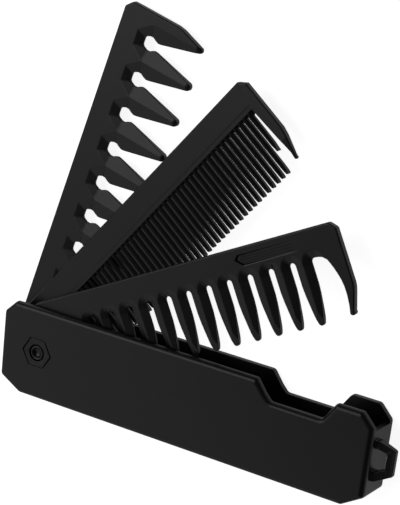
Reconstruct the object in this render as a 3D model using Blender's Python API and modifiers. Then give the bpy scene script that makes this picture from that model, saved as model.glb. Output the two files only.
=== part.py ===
# Folding comb: three comb blades that swing out of one open-sided case about a shared pivot.
# Metres, +Z up. The case lies on its rear plate. +X runs to the end with the lanyard lug,
# +Y to the edge that the blades swing out of. The origin is the middle of the rear plate's outer face.
# Every blade is drawn about its own pivot, with +X along the blade and +Y towards its spine.

import math

import bmesh
import bpy
from mathutils import Matrix

mm = 0.001

# Case
case_length = 130.0 * mm
case_top = 14.5 * mm            # pivot to the edge that the blades leave by
case_bottom = -14.9 * mm
pivot_inset = 13.3 * mm         # pivot to the case's near end
plate = 2.0 * mm                # thickness of each of the two plates
top_corner = 4.1 * mm           # 45 degree corners at the open edge
bottom_corner_x = 7.8 * mm      # long flat corners at the other edge
bottom_corner_y = 4.4 * mm
end_wall_inner = 115.0 * mm     # pivot to the inside of the end wall
end_wall_top = 9.5 * mm
case_edge = 0.7 * mm            # chamfer round the outside of both plates

# Thumb notch in both plates, measured from the pivot
notch_left_top = 77.0 * mm
notch_left_floor = 80.4 * mm
notch_right_floor = 99.6 * mm
notch_right_top = 103.6 * mm
notch_floor = 8.5 * mm

# Lanyard lug on the end wall
lug_reach = 5.3 * mm
lug_root_top = 6.3 * mm
lug_root_bottom = -6.3 * mm
lug_tip_top = 4.2 * mm
lug_tip_bottom = -2.9 * mm
lug_bar = 2.5 * mm
lug_thickness = 1.7 * mm
lug_depth = 4.8 * mm            # front plate's outer face to the middle of the lug

# Blades
blade_thickness = 2.3 * mm
play = 0.3 * mm                 # between neighbours in the stack
blade_end = 114.2 * mm
tang_radius = 12.9 * mm
tang_shoulder = 4.0 * mm        # pivot to where the straight spine begins
blade_edge = 0.35 * mm
open_wide = 27.55               # degrees from closed, as shown
open_fine = 52.10
open_rake = 74.57

# Pivot
pin_radius = 2.35 * mm
pin_hole = 2.65 * mm
pin_head_radius = 4.6 * mm
pin_head_height = 1.0 * mm
pin_dish_radius = 1.6 * mm
pin_dish_depth = 0.9 * mm
nut_radius = 5.2 * mm           # to the corners
nut_height = 1.4 * mm
seam = 0.3 * mm                 # round the nut and the pin's head

# Wide-toothed blade
wide_pitch = 7.405 * mm
wide_last_gap = 96.7 * mm
wide_gaps = 11
wide_gap_half = 1.05 * mm
wide_gap_top = 6.3 * mm
wide_tip = -12.9 * mm
wide_spine = 14.8 * mm
wide_corner = 2.0 * mm

# Fine-toothed blade
fine_pitch = 2.146 * mm
fine_last_tooth = 106.64 * mm
fine_teeth = 40
fine_root = 5.1 * mm
fine_tip = -14.3 * mm
fine_spine = 14.4 * mm
fine_corner = 2.1 * mm

# Rake blade
rake_pitch = 11.72 * mm
rake_last_gap = 105.0 * mm
rake_gaps = 8
rake_tip = -14.7 * mm
rake_spine = 14.2 * mm
rake_corner = 2.2 * mm

pivot_x = pivot_inset - case_length / 2
stack_height = 2 * plate + 3 * blade_thickness + 4 * play
below = -20.0 * mm              # well past every tooth tip, for cutters
groove_margin = 0.05 * mm       # cutters stand this far proud of the face they cut

for old in list(bpy.data.objects):
    bpy.data.objects.remove(old)

comb_collection = bpy.data.collections.new("folding_comb")
cutter_collection = bpy.data.collections.new("cutters")
bpy.context.scene.collection.children.link(comb_collection)
bpy.context.scene.collection.children.link(cutter_collection)


def plastic(name, colour, roughness, metallic=0.0):
    material = bpy.data.materials.new(name)
    material.use_nodes = True
    shader = material.node_tree.nodes["Principled BSDF"]
    shader.inputs["Base Color"].default_value = (*colour, 1.0)
    shader.inputs["Roughness"].default_value = roughness
    shader.inputs["Metallic"].default_value = metallic
    return material


def arc(centre, radius, start, end, steps):
    """Points of an arc, from start to end in degrees."""
    points = []
    for step in range(steps + 1):
        angle = math.radians(start + (end - start) * step / steps)
        points.append((centre[0] + radius * math.cos(angle), centre[1] + radius * math.sin(angle)))
    return points


def arc_through(first, middle, last, steps):
    """Points of the arc that passes through three points."""
    (ax, ay), (bx, by), (cx, cy) = first, middle, last
    turn = 2 * (ax * (by - cy) + bx * (cy - ay) + cx * (ay - by))
    a2, b2, c2 = ax * ax + ay * ay, bx * bx + by * by, cx * cx + cy * cy
    x = (a2 * (by - cy) + b2 * (cy - ay) + c2 * (ay - by)) / turn
    y = (a2 * (cx - bx) + b2 * (ax - cx) + c2 * (bx - ax)) / turn
    radius = math.hypot(ax - x, ay - y)
    start = math.degrees(math.atan2(ay - y, ax - x))
    end = math.degrees(math.atan2(cy - y, cx - x))
    if turn > 0 and end < start:
        end += 360
    if turn < 0 and end > start:
        end -= 360
    return arc((x, y), radius, start, end, steps)


def mirrored(half):
    """A half outline at +X, top to bottom, closed by its mirror image at -X."""
    return half + [(-x, y) for x, y in reversed(half)]


def shifted(points, x):
    return [(px + x, py) for px, py in points]


def own(obj, collection, material=None):
    collection.objects.link(obj)
    if material:
        obj.data.materials.append(material)
    if collection is cutter_collection:
        obj.hide_render = True
        obj.display_type = 'WIRE'
    return obj


def slab(name, outlines, low, high, collection, material=None):
    """Flat outlines given a thickness; an outline inside another is a hole."""
    curve = bpy.data.curves.new(name + "_outline", 'CURVE')
    curve.dimensions = '2D'
    curve.fill_mode = 'BOTH'
    curve.extrude = (high - low) / 2
    for outline in outlines:
        spline = curve.splines.new('POLY')
        spline.points.add(len(outline) - 1)
        for point, (x, y) in zip(spline.points, outline):
            point.co = (x, y, 0, 1)
        spline.use_cyclic_u = True
    guide = bpy.data.objects.new(name + "_outline", curve)
    bpy.context.scene.collection.objects.link(guide)
    bpy.context.view_layer.update()
    mesh = bpy.data.meshes.new_from_object(guide.evaluated_get(bpy.context.evaluated_depsgraph_get()))
    bpy.data.objects.remove(guide)
    shape = bmesh.new()
    shape.from_mesh(mesh)
    bmesh.ops.remove_doubles(shape, verts=shape.verts, dist=0.00001)
    bmesh.ops.translate(shape, verts=shape.verts, vec=(0, 0, (low + high) / 2))
    bmesh.ops.recalc_face_normals(shape, faces=shape.faces)
    shape.to_mesh(mesh)
    shape.free()
    mesh.name = name
    mesh.materials.clear()
    return own(bpy.data.objects.new(name, mesh), collection, material)


def grooves(name, places, at_face, at_depth, face, inward):
    """Cutters with sloping sides: one outline at a face, and under it one whose points carry a depth."""
    shape = bmesh.new()
    for place in places:
        wide = []
        narrow = []
        for (ax, ay), (bx, by, depth) in zip(at_face, at_depth):
            proud = groove_margin / depth
            wide.append(shape.verts.new((place + ax + (ax - bx) * proud, ay + (ay - by) * proud,
                                         face - inward * groove_margin)))
            narrow.append(shape.verts.new((place + bx, by, face + inward * depth)))
        shape.faces.new(wide)
        shape.faces.new(list(reversed(narrow)))
        for i in range(len(wide)):
            k = (i + 1) % len(wide)
            shape.faces.new((wide[k], wide[i], narrow[i], narrow[k]))
    bmesh.ops.recalc_face_normals(shape, faces=shape.faces)
    mesh = bpy.data.meshes.new(name)
    shape.to_mesh(mesh)
    shape.free()
    return own(bpy.data.objects.new(name, mesh), cutter_collection)


def cylinder(name, radius, low, high):
    shape = bmesh.new()
    bmesh.ops.create_cone(shape, cap_ends=True, segments=40, radius1=radius, radius2=radius, depth=high - low)
    bmesh.ops.translate(shape, verts=shape.verts, vec=(0, 0, (low + high) / 2))
    mesh = bpy.data.meshes.new(name)
    shape.to_mesh(mesh)
    shape.free()
    return own(bpy.data.objects.new(name, mesh), cutter_collection)


def combine(target, tool, operation='DIFFERENCE'):
    boolean = target.modifiers.new(operation.lower(), 'BOOLEAN')
    boolean.operation = operation
    boolean.solver = 'EXACT'
    boolean.object = tool


def chamfer(target, width):
    bevel = target.modifiers.new("chamfer", 'BEVEL')
    bevel.width = width
    bevel.segments = 1
    bevel.limit_method = 'ANGLE'
    bevel.angle_limit = math.radians(35)


def case_outline():
    left = -pivot_inset
    right = case_length - pivot_inset
    notch_slope = 2.0 * mm
    return [
        (left, case_bottom + bottom_corner_y), (left + bottom_corner_x, case_bottom),
        (right - bottom_corner_x, case_bottom), (right, case_bottom + bottom_corner_y),
        (right, case_top - top_corner), (right - top_corner, case_top),
        (notch_right_top, case_top), (notch_right_floor, notch_floor),
        (notch_left_floor + notch_slope, notch_floor), (notch_left_floor, notch_floor + notch_slope),
        (notch_left_top, case_top),
        (left + top_corner, case_top), (left, case_top - top_corner)]


def lug_outline():
    """A bent bar that starts and ends inside the end wall, so that the wall closes the loop."""
    wall_middle = (end_wall_inner + case_length - pivot_inset) / 2
    shoulder = case_length - pivot_inset + lug_bar * 0.4
    tip = case_length - pivot_inset + lug_reach
    inner_tip = tip - lug_bar
    slope = lug_bar * 0.55
    return [(wall_middle, lug_root_bottom), (shoulder, lug_root_bottom), (tip, lug_tip_bottom),
            (tip, lug_tip_top), (shoulder, lug_root_top), (wall_middle, lug_root_top),
            (wall_middle, lug_root_top - lug_bar), (shoulder, lug_root_top - lug_bar),
            (inner_tip, lug_tip_top - slope), (inner_tip, lug_tip_bottom + slope),
            (shoulder, lug_root_bottom + lug_bar), (wall_middle, lug_root_bottom + lug_bar)]


def lug_foot(name, low, high):
    """A wedge that spreads one root of the lug over the end wall, up to the front plate's chamfer."""
    right = case_length - pivot_inset
    wall_middle = (end_wall_inner + right) / 2
    lug_middle = stack_height - lug_depth
    reach = right + 1.6 * mm
    end = lug_middle + lug_thickness / 2 - 0.15 * mm
    top = stack_height - case_edge - 0.1 * mm
    profile = [(wall_middle, lug_middle), (reach, lug_middle), (reach, end), (right, top), (wall_middle, top)]
    foot = slab(name, [profile], -high, -low, cutter_collection)
    foot.data.transform(Matrix.Rotation(math.radians(90), 4, 'X'))
    return foot


def make_case(material):
    case = slab("case", [case_outline()], 0, stack_height, comb_collection, material)
    chamfer(case, case_edge)
    far = case_length
    space = [(-far, -far), (end_wall_inner, -far), (end_wall_inner, end_wall_top), (far, end_wall_top),
             (far, far), (-far, far)]
    combine(case, slab("blade_space", [space], plate, stack_height - plate, cutter_collection))
    lug_middle = stack_height - lug_depth
    lug = slab("lug", [lug_outline()], lug_middle - lug_thickness / 2, lug_middle + lug_thickness / 2,
               cutter_collection)
    combine(case, lug, 'UNION')
    foot_side = 0.3 * mm
    combine(case, lug_foot("lug_foot_upper", lug_root_top - lug_bar + foot_side, lug_root_top - foot_side), 'UNION')
    combine(case, lug_foot("lug_foot_lower", lug_root_bottom + foot_side, lug_root_bottom + lug_bar - foot_side),
            'UNION')
    combine(case, cylinder("case_pin_hole", pin_hole, -far, far))
    combine(case, slab("nut_pocket", [hexagon(nut_radius + seam)], stack_height - nut_height - seam, far,
                       cutter_collection))
    combine(case, cylinder("head_pocket", pin_head_radius + seam, -far, pin_head_height + seam))
    case.location = (pivot_x, 0, 0)
    finish(case)


def hexagon(radius):
    return arc((0, 0), radius, 0, 300, 5)


def make_nut(material):
    hole = arc((0, 0), pin_hole, 0, 350, 35)
    nut = slab("pivot_nut", [hexagon(nut_radius), hole], stack_height - nut_height, stack_height,
               comb_collection, material)
    nut.location = (pivot_x, 0, 0)


def make_pin(material):
    """A turned pin: a flat head in the rear plate, a shank through the stack and a dished end."""
    top = stack_height - 0.1 * mm
    rim = 0.25 * mm
    head_face = seam
    profile = [
        (0, top - pin_dish_depth), (pin_dish_radius * 0.7, top - pin_dish_depth * 0.8),
        (pin_dish_radius, top), (pin_radius - rim, top), (pin_radius, top - rim),
        (pin_radius, pin_head_height), (pin_head_radius, pin_head_height),
        (pin_head_radius, head_face + rim), (pin_head_radius - rim, head_face), (0, head_face)]
    mesh = bpy.data.meshes.new("pivot_pin")
    mesh.from_pydata([(x, 0, z) for x, z in profile], [(i, i + 1) for i in range(len(profile) - 1)], [])
    pin = own(bpy.data.objects.new("pivot_pin", mesh), comb_collection, material)
    screw = pin.modifiers.new("turn", 'SCREW')
    screw.steps = 40
    screw.render_steps = 40
    screw.use_merge_vertices = True
    screw.merge_threshold = 0.00001
    pin.location = (pivot_x, 0, 0)


def blade_outline(spine, corner, end_edge, teeth):
    """Spine and end of a blade, then its teeth from the end back to the tang, then the tang's round."""
    shoulder = math.degrees(math.acos(0.12))
    tang = arc((0, 0), tang_radius, 270, shoulder, 24)
    return ([(tang_shoulder, spine), (blade_end - corner, spine), (blade_end, spine - corner)]
            + end_edge + teeth + tang)


def chamfer_spine(blade, spine, width, lowest):
    """Chamfers both faces along the spine and the end, down to a height."""
    weights = blade.data.attributes.new("bevel_weight_edge", 'FLOAT', 'EDGE')
    points = blade.data.vertices
    for edge in blade.data.edges:
        a, b = (points[i].co for i in edge.vertices)
        flat = abs(a.z - b.z) < seam
        on_spine = min(a.y, b.y) > spine - seam and min(a.x, b.x) > 0
        on_end = min(a.x, b.x) > blade_end - 3.5 * mm and min(a.y, b.y) > lowest
        weights.data[edge.index].value = 1.0 if flat and (on_spine or on_end) else 0.0
    bevel = blade.modifiers.new("chamfer", 'BEVEL')
    bevel.width = width
    bevel.segments = 1
    bevel.limit_method = 'WEIGHT'


def make_blade(name, layer, angle, spine, outline, material):
    """A toothed plate on the pivot, turned out of the case to its angle."""
    blade = slab(name, [outline], 0, blade_thickness, comb_collection, material)
    chamfer_spine(blade, spine, blade_edge, -5.0 * mm)
    margin = 1.0 * mm
    combine(blade, cylinder(name + "_pin_hole", pin_hole, -margin, blade_thickness + margin))
    blade.location = (pivot_x, 0, plate + play + layer * (blade_thickness + play))
    blade.rotation_euler = (0, 0, math.radians(angle))
    return blade


def cut_grooves(blade, places, at_face, at_depth):
    """The same grooves in both faces of a blade, so that the teeth thin towards their edges."""
    combine(blade, grooves(blade.name + "_front_grooves", places, at_face, at_depth, blade_thickness, -1))
    combine(blade, grooves(blade.name + "_back_grooves", places, at_face, at_depth, 0, 1))


def place_cutters(target):
    for modifier in target.modifiers:
        if modifier.type == 'BOOLEAN':
            modifier.object.location = target.location
            modifier.object.rotation_euler = target.rotation_euler


def make_wide_comb(material):
    """Thick roof-shaped teeth, and a hooked last tooth with an open bay behind it."""
    half_pitch = wide_pitch / 2
    tip_round = 1.15 * mm
    straight_until = -1.5 * mm
    hook_tip = (110.85 * mm, -11.4 * mm)
    bay_left = wide_last_gap + wide_pitch - wide_gap_half
    places = [wide_last_gap - i * wide_pitch for i in range(wide_gaps)]

    end_edge = [(blade_end, -3.5 * mm), (113.7 * mm, -5.6 * mm)] + arc(hook_tip, 0.9 * mm, 20, -160, 7)
    teeth = arc_through((110.0 * mm, -10.6 * mm), (110.4 * mm, -2.4 * mm), (107.3 * mm, 5.0 * mm), 8)
    teeth += [(105.9 * mm, 6.3 * mm), (bay_left + 1.0 * mm, 6.4 * mm), (bay_left, 5.2 * mm),
              (bay_left, straight_until)]
    for middle in places:
        teeth += arc((middle + half_pitch, wide_tip + tip_round), tip_round, 345, 195, 7)
        teeth += [(middle + wide_gap_half, straight_until)]
        teeth += arc((middle, wide_gap_top - wide_gap_half), wide_gap_half, 0, 180, 6)
        teeth += [(middle - wide_gap_half, straight_until)]
    teeth += arc((places[-1] - half_pitch, wide_tip + tip_round), tip_round, 345, 270, 4)
    outline = blade_outline(wide_spine, wide_corner, end_edge, teeth)
    blade = make_blade("comb_wide", 2, open_wide, wide_spine, outline, material)

    land = 0.2 * mm
    face_top = 8.3 * mm
    depth = 1.08 * mm
    face = mirrored([(half_pitch - 2.0 * mm, face_top), (half_pitch - land, face_top - 2.2 * mm),
                     (half_pitch - land, below)])
    deep = [(x, y, depth) for x, y in mirrored([
        (0.2 * mm, wide_gap_top + 0.2 * mm), (0.3 * mm, wide_gap_top - 1.6 * mm), (0.3 * mm, below)])]
    cut_grooves(blade, places, face, deep)
    thumb_recess(blade)
    finish(blade)


def thumb_recess(blade):
    """A recess with a pointed end that runs out towards the blade's end; a thumbnail pulls there."""
    face = [(79.2 * mm, 12.6 * mm), (100.5 * mm, 12.6 * mm), (100.5 * mm, 9.3 * mm), (81.0 * mm, 9.3 * mm)]
    deep = [(80.0 * mm, 12.3 * mm, 0.55 * mm), (100.0 * mm, 12.3 * mm, 0.12 * mm),
            (100.0 * mm, 9.6 * mm, 0.12 * mm), (81.4 * mm, 9.6 * mm, 0.55 * mm)]
    combine(blade, grooves("thumb_recess", [0], face, deep, blade_thickness, -1))


def make_fine_comb(material):
    """Many thin teeth of one pitch, the last one short beside a strong end tooth."""
    half_gap = 0.5 * mm
    half_tooth = fine_pitch / 2 - half_gap
    mouth = -10.0 * mm
    half_tip = 0.2 * mm
    short_tip = -8.3 * mm
    short = fine_last_tooth + fine_pitch
    end_edge = [(blade_end, -4.0 * mm), (113.75 * mm, -6.3 * mm), (111.9 * mm, -12.2 * mm),
                (111.35 * mm, -13.6 * mm), (111.05 * mm, -13.9 * mm)]
    teeth = [(110.85 * mm, -13.4 * mm), (110.7 * mm, -7.0 * mm), (110.4 * mm, fine_root),
             (short + half_tooth, fine_root), (short + half_tooth * 0.8, short_tip + 1.2 * mm),
             (short + half_tip, short_tip), (short - half_tip, short_tip),
             (short - half_tooth * 0.8, short_tip + 1.2 * mm)]
    middles = [fine_last_tooth - i * fine_pitch for i in range(fine_teeth)]
    for middle in middles:
        teeth += fine_gap_top(middle + fine_pitch / 2, half_gap)
        teeth += [(middle + half_tooth, mouth), (middle + half_tip, fine_tip + 0.2 * mm), (middle, fine_tip),
                  (middle - half_tip, fine_tip + 0.2 * mm), (middle - half_tooth, mouth)]
    teeth += fine_gap_top(middles[-1] - fine_pitch / 2, half_gap)
    teeth += [(middles[-1] - fine_pitch + half_tooth, mouth), (middles[-1] - fine_pitch, fine_tip),
              (5.0 * mm, fine_tip)]
    outline = blade_outline(fine_spine, fine_corner, end_edge, teeth)
    blade = make_blade("comb_fine", 1, open_fine, fine_spine, outline, material)

    step = 7.3 * mm
    step_foot = 6.7 * mm
    left = middles[-1] - fine_pitch
    right = 110.3 * mm
    face = [(left, step), (right, step), (right, below), (left, below)]
    deep = [(left + 0.3 * mm, step_foot, 0.25 * mm), (right - 0.3 * mm, step_foot, 0.25 * mm),
            (right - 0.3 * mm, below, 0.8 * mm), (left + 0.3 * mm, below, 0.8 * mm)]
    cut_grooves(blade, [0], face, deep)
    finish(blade)


def fine_gap_top(middle, half_gap):
    corner = 0.3 * mm
    return [(middle + half_gap, fine_root - corner), (middle + half_gap - corner, fine_root),
            (middle - half_gap + corner, fine_root), (middle - half_gap, fine_root - corner)]


def make_rake_comb(material):
    """Broad pointed teeth with a keyhole at each root."""
    half_pitch = rake_pitch / 2
    tip_round = 1.2 * mm
    end_tip = (110.75 * mm, -13.6 * mm)
    half_keyhole = [(1.5 * mm, -0.9 * mm), (1.36 * mm, 0.1 * mm), (1.7 * mm, 1.1 * mm), (2.2 * mm, 2.1 * mm),
                    (2.2 * mm, 3.1 * mm), (1.65 * mm, 4.4 * mm), (1.1 * mm, 4.75 * mm)]
    keyhole = mirrored(half_keyhole)
    places = [rake_last_gap - i * rake_pitch for i in range(rake_gaps)]
    end_edge = [(blade_end, -4.5 * mm), (113.85 * mm, -6.6 * mm)] + arc(end_tip, 0.95 * mm, 15, -165, 7)
    teeth = []
    for middle in places:
        teeth += shifted(keyhole, middle)
        teeth += arc((middle - half_pitch, rake_tip + tip_round), tip_round, 345, 195, 7)
    teeth = teeth[:-4] + [(5.0 * mm, rake_tip)]
    outline = blade_outline(rake_spine, rake_corner, end_edge, teeth)
    blade = make_blade("comb_rake", 0, open_rake, rake_spine, outline, material)

    land = 0.2 * mm
    depth = 0.95 * mm
    face = mirrored([(2.5 * mm, 7.5 * mm), (half_pitch - land, 2.9 * mm), (half_pitch - land, below)])
    deep = [(x, y, depth) for x, y in mirrored([
        (0.4 * mm, 4.4 * mm), (0.6 * mm, 2.2 * mm), (0.6 * mm, below)])]
    cut_grooves(blade, places, face, deep)
    finish(blade)


def finish(target):
    """Seats the cutters with their object and closes the hairline slivers that cuts leave."""
    place_cutters(target)
    weld = target.modifiers.new("weld", 'WELD')
    weld.merge_threshold = 0.00001


black_plastic = plastic("black_plastic", (0.016, 0.016, 0.016), 0.45)
black_nut = plastic("black_nut", (0.018, 0.018, 0.018), 0.42)
dark_pin = plastic("dark_pin", (0.03, 0.03, 0.03), 0.35)

make_case(black_plastic)
make_nut(black_nut)
make_pin(dark_pin)
make_wide_comb(black_plastic)
make_fine_comb(black_plastic)
make_rake_comb(black_plastic)
bpy.context.view_layer.update()
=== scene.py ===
import math

import bmesh
import bpy
from mathutils import Matrix, Vector
from mathutils.geometry import delaunay_2d_cdt


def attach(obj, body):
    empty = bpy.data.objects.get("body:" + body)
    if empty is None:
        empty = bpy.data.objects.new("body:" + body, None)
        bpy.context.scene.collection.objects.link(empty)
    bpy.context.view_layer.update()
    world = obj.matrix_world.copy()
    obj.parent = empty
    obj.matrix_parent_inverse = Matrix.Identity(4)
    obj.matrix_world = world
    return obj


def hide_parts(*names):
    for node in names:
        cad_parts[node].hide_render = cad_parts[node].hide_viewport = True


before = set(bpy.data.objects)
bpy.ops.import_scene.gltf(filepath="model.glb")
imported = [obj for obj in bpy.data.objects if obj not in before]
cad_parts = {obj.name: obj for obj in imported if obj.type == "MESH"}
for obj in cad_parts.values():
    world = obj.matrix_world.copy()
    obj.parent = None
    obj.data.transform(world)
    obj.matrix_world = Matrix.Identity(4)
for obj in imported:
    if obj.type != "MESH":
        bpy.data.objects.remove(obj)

for name in ("Cube", "Light", "Camera"):
    if name in bpy.data.objects:
        bpy.data.objects.remove(bpy.data.objects[name])
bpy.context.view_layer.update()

# A folding comb: three blades fanned out of a moulded case.
# Sizes are in millimetres. A blade is drawn about its own pivot, +X along it and +Y towards its spine,
# with height 0 at the middle of its thickness, and is turned and lifted to its place at the end.
mm = 0.001
weld = 0.002  # points nearer than this are one
lead = 3.0  # length of a side that only gives a corner its direction

stack = {
    "pivotX": -51.7,
    "height": 12.1,
    "plate": 2.0,
    "bladeThickness": 2.3,
    "play": 0.3,
    "pinHole": 2.65,
}


def linear(hexColour):
    channels = [int(hexColour[i:i + 2], 16) / 255 for i in (1, 3, 5)]
    return [c / 12.92 if c <= 0.04045 else ((c + 0.055) / 1.055) ** 2.4 for c in channels] + [1.0]


def addNode(tree, kind, values=None, links=None, **settings):
    node = tree.nodes.new(kind)
    for name, value in settings.items():
        setattr(node, name, value)
    for socket, value in (values or {}).items():
        node.inputs[socket].default_value = value
    for socket, source in (links or {}).items():
        tree.links.new(source, node.inputs[socket])
    return node


blackAbs = {
    "dark": "#040404",  # the two tones that the pigment drifts between
    "light": "#080809",
    "driftSize": 9.0,
    "roughness": 0.36,
    "roughnessDrift": 0.05,
    "grainSize": 0.22,  # spark-eroded mould grain; the real one is near 0.1, drawn coarser so it shows
    "grainDepth": 0.012,
    "grainStrength": 0.30,
}
# Lighter tones for the rounded edges: partly handling wear, partly a painted highlight along them
edgeWearAndHighlight = dict(blackAbs, dark="#060606", light="#0c0c0d", roughness=0.34, grainStrength=0.12)
nutPlastic = dict(blackAbs, dark="#050505", light="#0a0a0b", roughness=0.36, grainSize=0.16)
pinPlastic = dict(blackAbs, dark="#060606", light="#0e0e0f", roughness=0.30, grainSize=0.14,
                  grainStrength=0.15)


def mouldedPlastic(name, look):
    material = bpy.data.materials.new(name)
    material.use_nodes = True
    tree = material.node_tree
    tree.nodes.clear()
    place = addNode(tree, "ShaderNodeTexCoord").outputs["Object"]
    drift = addNode(tree, "ShaderNodeTexNoise", {"Scale": 1 / (look["driftSize"] * mm), "Detail": 3.0},
                    {"Vector": place})
    grain = addNode(tree, "ShaderNodeTexNoise", {"Scale": 1 / (look["grainSize"] * mm), "Detail": 2.0,
                                                 "Roughness": 0.6}, {"Vector": place})
    tint = addNode(tree, "ShaderNodeMix", data_type='RGBA')
    tint.inputs["A"].default_value = linear(look["dark"])
    tint.inputs["B"].default_value = linear(look["light"])
    tree.links.new(drift.outputs["Fac"], tint.inputs["Factor"])
    gloss = addNode(tree, "ShaderNodeMapRange",
                    {"To Min": look["roughness"] - look["roughnessDrift"],
                     "To Max": look["roughness"] + look["roughnessDrift"]},
                    {"Value": drift.outputs["Fac"]})
    bump = addNode(tree, "ShaderNodeBump",
                   {"Strength": look["grainStrength"], "Distance": look["grainDepth"] * mm},
                   {"Height": grain.outputs["Fac"]})
    shader = addNode(tree, "ShaderNodeBsdfPrincipled", {"IOR": 1.5},
                     {"Base Color": tint.outputs["Result"], "Roughness": gloss.outputs["Result"],
                      "Normal": bump.outputs["Normal"]})
    addNode(tree, "ShaderNodeOutputMaterial", links={"Surface": shader.outputs["BSDF"]})
    return material


# Moulded ABS, pigmented black: satin, with a fine even grain from the mould
absCase = mouldedPlastic("mouldedAbsBlack", blackAbs)
# The same ABS on its rounded edges, a little smoother from handling, and lighter: partly handling wear,
# partly a painted highlight where the edges catch the light
absEdge = mouldedPlastic("mouldedAbsEdgeWearAndHighlight", edgeWearAndHighlight)
# Nylon nut and pin: the same black, slightly glossier, since their moulds are plain turned steel
nylonNut = mouldedPlastic("mouldedNylonNut", nutPlastic)
nylonPin = mouldedPlastic("mouldedNylonPin", pinPlastic)
print("materials ready")


def newObject(name, data):
    obj = bpy.data.objects.new(name, data)
    bpy.context.scene.collection.objects.link(obj)
    return obj


def asMesh(name, shape):
    mesh = bpy.data.meshes.new(name)
    shape.to_mesh(mesh)
    shape.free()
    return mesh


def foldAngle(edge):
    return math.degrees(edge.calc_face_angle(0))


def arc(centre, radius, start, end, steps):
    return [(centre[0] + radius * math.cos(math.radians(start + (end - start) * i / steps)),
             centre[1] + radius * math.sin(math.radians(start + (end - start) * i / steps)))
            for i in range(steps + 1)]


def circle(radius, steps=64):
    return arc((0, 0), radius, 0, 360 - 360 / steps, steps - 1)


cornerLimits = {
    "share": 0.45,  # the most that a rounded corner takes of the side next to it
    "straight": 86,  # half the angle past which a corner stays as it is
}


# Rounds the corners of an outline; radii is one number or one for each corner
def rounded(points, radii, steps=3):
    result = []
    for i, point in enumerate(points):
        radius = radii[i] if isinstance(radii, list) else radii
        here = Vector(point)
        before = Vector(points[i - 1]) - here
        after = Vector(points[(i + 1) % len(points)]) - here
        half = before.angle(after) / 2
        share = cornerLimits["share"]
        reach = min(radius / math.tan(half), before.length * share, after.length * share)
        if radius <= 0 or half > math.radians(cornerLimits["straight"]):
            result.append(point)
            continue
        start = here + before.normalized() * reach
        end = here + after.normalized() * reach
        size = reach * math.tan(half)
        middle = here + (before.normalized() + after.normalized()).normalized() * math.hypot(reach, size)
        a, b = start - middle, end - middle
        turn = a.angle_signed(b)
        for k in range(steps + 1):
            result.append(tuple(middle + Matrix.Rotation(-turn * k / steps, 2) @ a))
    return result


# A sloping plane through three points: its height at (0, 0), and its rise along X and along Y
def plane(p, q, r):
    normal = (Vector(q) - Vector(p)).cross(Vector(r) - Vector(p))
    return (Vector(p).dot(normal) / normal.z, -normal.x / normal.z, -normal.y / normal.z)


def heightOf(planeFacts, x, y):
    return planeFacts[0] + planeFacts[1] * x + planeFacts[2] * y


# A face is cut from planes: the highest plane of each group, and the lowest of the groups
def surfaceHeight(groups, x, y):
    return min(max(heightOf(p, x, y) for p in group) for group in groups)


creaseLimits = {
    "parallel": 1e-7,
    "crossing": 1e-6,
    "shortest": 0.01,
    "offSurface": 1e-5,
}


# The lines along which a face's planes meet, cut where they cross each other
def creases(groups, box):
    planes = [p for group in groups for p in group]
    lines = []
    for i, p in enumerate(planes):
        for q in planes[i + 1:]:
            a, b, c = (p[k] - q[k] for k in range(3))
            if math.hypot(b, c) < creaseLimits["parallel"]:
                continue
            foot = Vector((-a * b, -a * c)) / (b * b + c * c)
            lines.append((foot, Vector((-c, b)).normalized(), p))
    found = []
    reach = Vector((box[1][0] - box[0][0], box[1][1] - box[0][1])).length
    for foot, along, p in lines:
        centre = (Vector(box[0]) + Vector(box[1])) / 2
        middle = (centre - foot).dot(along)
        stops = [middle - reach, middle + reach]
        for otherFoot, otherAlong, _ in lines:
            cross = along.x * otherAlong.y - along.y * otherAlong.x
            if abs(cross) > creaseLimits["crossing"]:
                gap = otherFoot - foot
                stops.append((gap.x * otherAlong.y - gap.y * otherAlong.x) / cross)
        stops = sorted(s for s in stops if middle - reach <= s <= middle + reach)
        for low, high in zip(stops, stops[1:]):
            if high - low > creaseLimits["shortest"]:
                point = foot + along * (low + high) / 2
                if abs(heightOf(p, *point) - surfaceHeight(groups, *point)) < creaseLimits["offSurface"]:
                    found.append((foot + along * low, foot + along * high))
    return found


def inside(x, y, outline):
    odd = False
    for (ax, ay), (bx, by) in zip(outline, outline[1:] + outline[:1]):
        if (ay > y) != (by > y) and x < (bx - ax) * (y - ay) / (by - ay) + ax:
            odd = not odd
    return odd


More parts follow.
